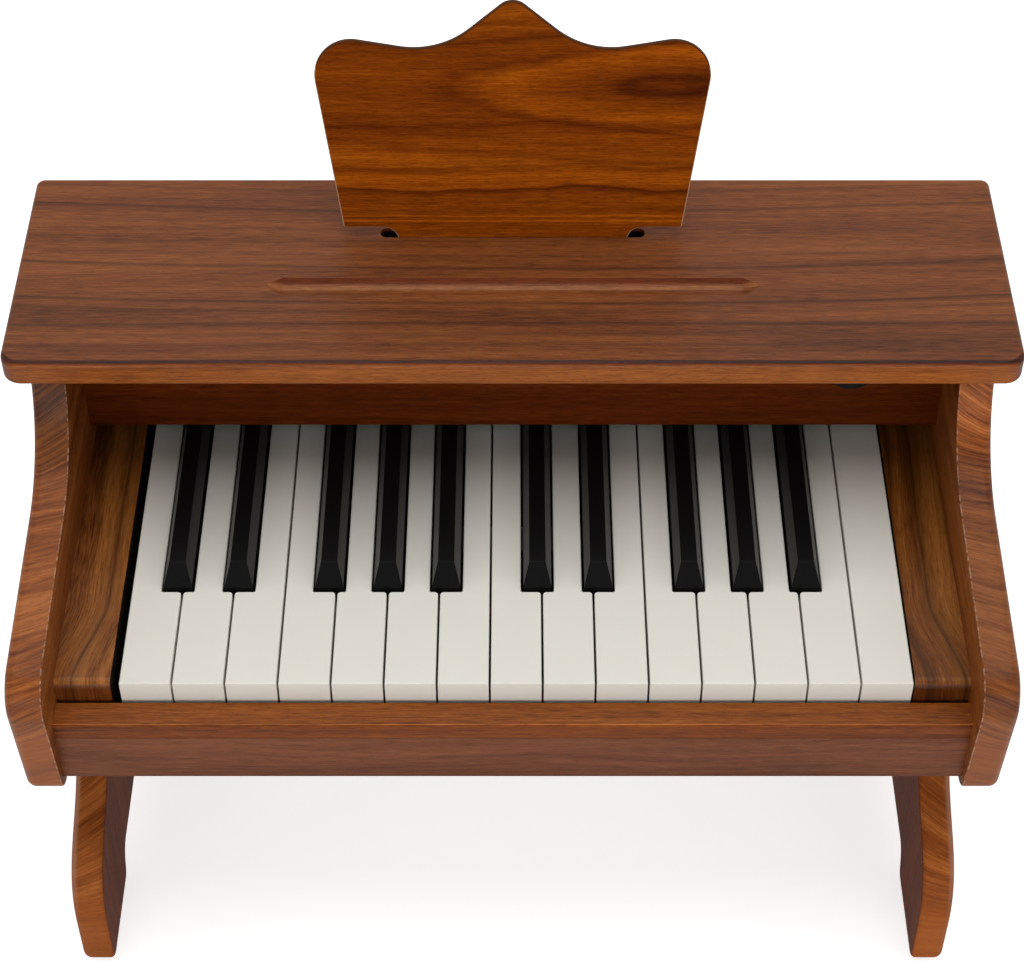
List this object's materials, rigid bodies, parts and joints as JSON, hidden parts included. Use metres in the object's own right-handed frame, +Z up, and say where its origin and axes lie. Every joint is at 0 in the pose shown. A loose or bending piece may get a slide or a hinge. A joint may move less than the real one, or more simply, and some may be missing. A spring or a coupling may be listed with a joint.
{
  "type": "toy piano",
  "caption": "Walnut-finish table-top toy piano with a working two-octave keyboard, lift-off music stand, grooved top, volume knob, speaker and battery box.",
  "frame": {"origin": "on the floor, under the middle of the whole piano", "axes": "+X to the player's right along the keyboard, +Y to the back, +Z up"},
  "size_m": [0.42, 0.2472, 0.3458],
  "materials": {
    "top_walnut": "satin walnut with fine dark streaks along the board",
    "panel_walnut": "satin walnut",
    "leg_walnut": "satin walnut",
    "front_walnut": "satin walnut",
    "slip_walnut": "satin walnut, lighter",
    "block_walnut": "satin walnut",
    "back_walnut": "satin walnut on fibreboard",
    "stand_walnut": "satin walnut with arched figure",
    "white_key": "satin ivory white",
    "black_key": "satin black",
    "frame_plastic": "matt dark grey",
    "steel": "plain steel",
    "felt": "pressed felt",
    "circuit_board": "green solder resist",
    "silicone": "translucent grey silicone",
    "tin": "tinned steel",
    "aluminium": "turned",
    "knob_plastic": "satin black",
    "basket_paint": "black",
    "cone_paper": "black paper",
    "magnet": "plain ferrite",
    "battery_plastic": "matt black",
    "beech": "raw beech",
    "black_screw": "black oxide"
  },
  "bodies": {
    "case": {"top_board": "top_walnut", "left_panel": "panel_walnut", "right_panel": "panel_walnut", "left_leg": "leg_walnut", "right_leg": "leg_walnut", "front_board": "front_walnut", "key_slip": "slip_walnut", "nameboard": "front_walnut", "left_key_block": "block_walnut", "right_key_block": "block_walnut", "back_panel": "back_walnut", "bottom_board": "back_walnut", "key_frame": "frame_plastic", "key_pivot_rod": "steel", "key_down_felts": "felt", "key_rest_felt": "felt", "contact_board": "circuit_board", "dome_strip": "silicone", "main_board": "circuit_board", "volume_control": "tin", "volume_nut": "steel", "speaker_basket": "basket_paint", "speaker_cone": "cone_paper", "speaker_magnet": "magnet", "battery_box": "battery_plastic", "battery_contacts": "tin", "case_dowels": "beech", "leg_screws": "steel", "back_panel_screws": "black_screw", "frame_screws": "steel"},
    "white_key_01_c": {"white_key_01_c": "white_key"},
    "black_key_01_c_sharp": {"black_key_01_c_sharp": "black_key"},
    "white_key_02_d": {"white_key_02_d": "white_key"},
    "black_key_02_d_sharp": {"black_key_02_d_sharp": "black_key"},
    "white_key_03_e": {"white_key_03_e": "white_key"},
    "white_key_04_f": {"white_key_04_f": "white_key"},
    "black_key_03_f_sharp": {"black_key_03_f_sharp": "black_key"},
    "white_key_05_g": {"white_key_05_g": "white_key"},
    "black_key_04_g_sharp": {"black_key_04_g_sharp": "black_key"},
    "white_key_06_a": {"white_key_06_a": "white_key"},
    "black_key_05_a_sharp": {"black_key_05_a_sharp": "black_key"},
    "white_key_07_b": {"white_key_07_b": "white_key"},
    "white_key_08_c": {"white_key_08_c": "white_key"},
    "black_key_06_c_sharp": {"black_key_06_c_sharp": "black_key"},
    "white_key_09_d": {"white_key_09_d": "white_key"},
    "black_key_07_d_sharp": {"black_key_07_d_sharp": "black_key"},
    "white_key_10_e": {"white_key_10_e": "white_key"},
    "white_key_11_f": {"white_key_11_f": "white_key"},
    "black_key_08_f_sharp": {"black_key_08_f_sharp": "black_key"},
    "white_key_12_g": {"white_key_12_g": "white_key"},
    "black_key_09_g_sharp": {"black_key_09_g_sharp": "black_key"},
    "white_key_13_a": {"white_key_13_a": "white_key"},
    "black_key_10_a_sharp": {"black_key_10_a_sharp": "black_key"},
    "white_key_14_b": {"white_key_14_b": "white_key"},
    "white_key_15_c": {"white_key_15_c": "white_key"},
    "music_stand": {"music_stand": "stand_walnut"},
    "volume_knob": {"volume_knob": "knob_plastic", "volume_shaft": "aluminium"},
    "battery_door": {"battery_door": "battery_plastic", "battery_door_screw": "steel"}
  },
  "joints": [
    {"name": "white_key_01_c_press", "type": "hinge", "parent": "case", "child": "white_key_01_c", "pos_m": [0, 0.07865, 0.155], "axis": [1, 0, 0], "range_deg": [0, 2.6], "stiffness_Nm_per_rad": 1.2, "springref_deg": -5.16, "deforming": ["dome_strip"]},
    {"name": "black_key_01_c_sharp_press", "type": "hinge", "parent": "case", "child": "black_key_01_c_sharp", "pos_m": [0, 0.07865, 0.155], "axis": [1, 0, 0], "range_deg": [0, 2.6], "stiffness_Nm_per_rad": 1.2, "springref_deg": -5.16, "deforming": ["dome_strip"]},
    {"name": "white_key_02_d_press", "type": "hinge", "parent": "case", "child": "white_key_02_d", "pos_m": [0, 0.07865, 0.155], "axis": [1, 0, 0], "range_deg": [0, 2.6], "stiffness_Nm_per_rad": 1.2, "springref_deg": -5.16, "deforming": ["dome_strip"]},
    {"name": "black_key_02_d_sharp_press", "type": "hinge", "parent": "case", "child": "black_key_02_d_sharp", "pos_m": [0, 0.07865, 0.155], "axis": [1, 0, 0], "range_deg": [0, 2.6], "stiffness_Nm_per_rad": 1.2, "springref_deg": -5.16, "deforming": ["dome_strip"]},
    {"name": "white_key_03_e_press", "type": "hinge", "parent": "case", "child": "white_key_03_e", "pos_m": [0, 0.07865, 0.155], "axis": [1, 0, 0], "range_deg": [0, 2.6], "stiffness_Nm_per_rad": 1.2, "springref_deg": -5.16, "deforming": ["dome_strip"]},
    {"name": "white_key_04_f_press", "type": "hinge", "parent": "case", "child": "white_key_04_f", "pos_m": [0, 0.07865, 0.155], "axis": [1, 0, 0], "range_deg": [0, 2.6], "stiffness_Nm_per_rad": 1.2, "springref_deg": -5.16, "deforming": ["dome_strip"]},
    {"name": "black_key_03_f_sharp_press", "type": "hinge", "parent": "case", "child": "black_key_03_f_sharp", "pos_m": [0, 0.07865, 0.155], "axis": [1, 0, 0], "range_deg": [0, 2.6], "stiffness_Nm_per_rad": 1.2, "springref_deg": -5.16, "deforming": ["dome_strip"]},
    {"name": "white_key_05_g_press", "type": "hinge", "parent": "case", "child": "white_key_05_g", "pos_m": [0, 0.07865, 0.155], "axis": [1, 0, 0], "range_deg": [0, 2.6], "stiffness_Nm_per_rad": 1.2, "springref_deg": -5.16, "deforming": ["dome_strip"]},
    {"name": "black_key_04_g_sharp_press", "type": "hinge", "parent": "case", "child": "black_key_04_g_sharp", "pos_m": [0, 0.07865, 0.155], "axis": [1, 0, 0], "range_deg": [0, 2.6], "stiffness_Nm_per_rad": 1.2, "springref_deg": -5.16, "deforming": ["dome_strip"]},
    {"name": "white_key_06_a_press", "type": "hinge", "parent": "case", "child": "white_key_06_a", "pos_m": [0, 0.07865, 0.155], "axis": [1, 0, 0], "range_deg": [0, 2.6], "stiffness_Nm_per_rad": 1.2, "springref_deg": -5.16, "deforming": ["dome_strip"]},
    {"name": "black_key_05_a_sharp_press", "type": "hinge", "parent": "case", "child": "black_key_05_a_sharp", "pos_m": [0, 0.07865, 0.155], "axis": [1, 0, 0], "range_deg": [0, 2.6], "stiffness_Nm_per_rad": 1.2, "springref_deg": -5.16, "deforming": ["dome_strip"]},
    {"name": "white_key_07_b_press", "type": "hinge", "parent": "case", "child": "white_key_07_b", "pos_m": [0, 0.07865, 0.155], "axis": [1, 0, 0], "range_deg": [0, 2.6], "stiffness_Nm_per_rad": 1.2, "springref_deg": -5.16, "deforming": ["dome_strip"]},
    {"name": "white_key_08_c_press", "type": "hinge", "parent": "case", "child": "white_key_08_c", "pos_m": [0, 0.07865, 0.155], "axis": [1, 0, 0], "range_deg": [0, 2.6], "stiffness_Nm_per_rad": 1.2, "springref_deg": -5.16, "deforming": ["dome_strip"]},
    {"name": "black_key_06_c_sharp_press", "type": "hinge", "parent": "case", "child": "black_key_06_c_sharp", "pos_m": [0, 0.07865, 0.155], "axis": [1, 0, 0], "range_deg": [0, 2.6], "stiffness_Nm_per_rad": 1.2, "springref_deg": -5.16, "deforming": ["dome_strip"]},
    {"name": "white_key_09_d_press", "type": "hinge", "parent": "case", "child": "white_key_09_d", "pos_m": [0, 0.07865, 0.155], "axis": [1, 0, 0], "range_deg": [0, 2.6], "stiffness_Nm_per_rad": 1.2, "springref_deg": -5.16, "deforming": ["dome_strip"]},
    {"name": "black_key_07_d_sharp_press", "type": "hinge", "parent": "case", "child": "black_key_07_d_sharp", "pos_m": [0, 0.07865, 0.155], "axis": [1, 0, 0], "range_deg": [0, 2.6], "stiffness_Nm_per_rad": 1.2, "springref_deg": -5.16, "deforming": ["dome_strip"]},
    {"name": "white_key_10_e_press", "type": "hinge", "parent": "case", "child": "white_key_10_e", "pos_m": [0, 0.07865, 0.155], "axis": [1, 0, 0], "range_deg": [0, 2.6], "stiffness_Nm_per_rad": 1.2, "springref_deg": -5.16, "deforming": ["dome_strip"]},
    {"name": "white_key_11_f_press", "type": "hinge", "parent": "case", "child": "white_key_11_f", "pos_m": [0, 0.07865, 0.155], "axis": [1, 0, 0], "range_deg": [0, 2.6], "stiffness_Nm_per_rad": 1.2, "springref_deg": -5.16, "deforming": ["dome_strip"]},
    {"name": "black_key_08_f_sharp_press", "type": "hinge", "parent": "case", "child": "black_key_08_f_sharp", "pos_m": [0, 0.07865, 0.155], "axis": [1, 0, 0], "range_deg": [0, 2.6], "stiffness_Nm_per_rad": 1.2, "springref_deg": -5.16, "deforming": ["dome_strip"]},
    {"name": "white_key_12_g_press", "type": "hinge", "parent": "case", "child": "white_key_12_g", "pos_m": [0, 0.07865, 0.155], "axis": [1, 0, 0], "range_deg": [0, 2.6], "stiffness_Nm_per_rad": 1.2, "springref_deg": -5.16, "deforming": ["dome_strip"]},
    {"name": "black_key_09_g_sharp_press", "type": "hinge", "parent": "case", "child": "black_key_09_g_sharp", "pos_m": [0, 0.07865, 0.155], "axis": [1, 0, 0], "range_deg": [0, 2.6], "stiffness_Nm_per_rad": 1.2, "springref_deg": -5.16, "deforming": ["dome_strip"]},
    {"name": "white_key_13_a_press", "type": "hinge", "parent": "case", "child": "white_key_13_a", "pos_m": [0, 0.07865, 0.155], "axis": [1, 0, 0], "range_deg": [0, 2.6], "stiffness_Nm_per_rad": 1.2, "springref_deg": -5.16, "deforming": ["dome_strip"]},
    {"name": "black_key_10_a_sharp_press", "type": "hinge", "parent": "case", "child": "black_key_10_a_sharp", "pos_m": [0, 0.07865, 0.155], "axis": [1, 0, 0], "range_deg": [0, 2.6], "stiffness_Nm_per_rad": 1.2, "springref_deg": -5.16, "deforming": ["dome_strip"]},
    {"name": "white_key_14_b_press", "type": "hinge", "parent": "case", "child": "white_key_14_b", "pos_m": [0, 0.07865, 0.155], "axis": [1, 0, 0], "range_deg": [0, 2.6], "stiffness_Nm_per_rad": 1.2, "springref_deg": -5.16, "deforming": ["dome_strip"]},
    {"name": "white_key_15_c_press", "type": "hinge", "parent": "case", "child": "white_key_15_c", "pos_m": [0, 0.07865, 0.155], "axis": [1, 0, 0], "range_deg": [0, 2.6], "stiffness_Nm_per_rad": 1.2, "springref_deg": -5.16, "deforming": ["dome_strip"]},
    {"name": "volume_turn", "type": "hinge", "parent": "case", "child": "volume_knob", "pos_m": [0.1434, 0.03865, 0.2168], "axis": [0, 1, 0], "range_deg": [-140, 140]},
    {"name": "music_stand_lift", "type": "slide", "parent": "case", "child": "music_stand", "axis": [0, 0.2588, 0.9659], "range_m": [0, 0.03]},
    {"name": "battery_door_swing", "type": "hinge", "parent": "case", "child": "battery_door", "pos_m": [-0.105, 0.1124, 0.1687], "axis": [-1, 0, 0], "range_deg": [0, 90]}
  ]
}
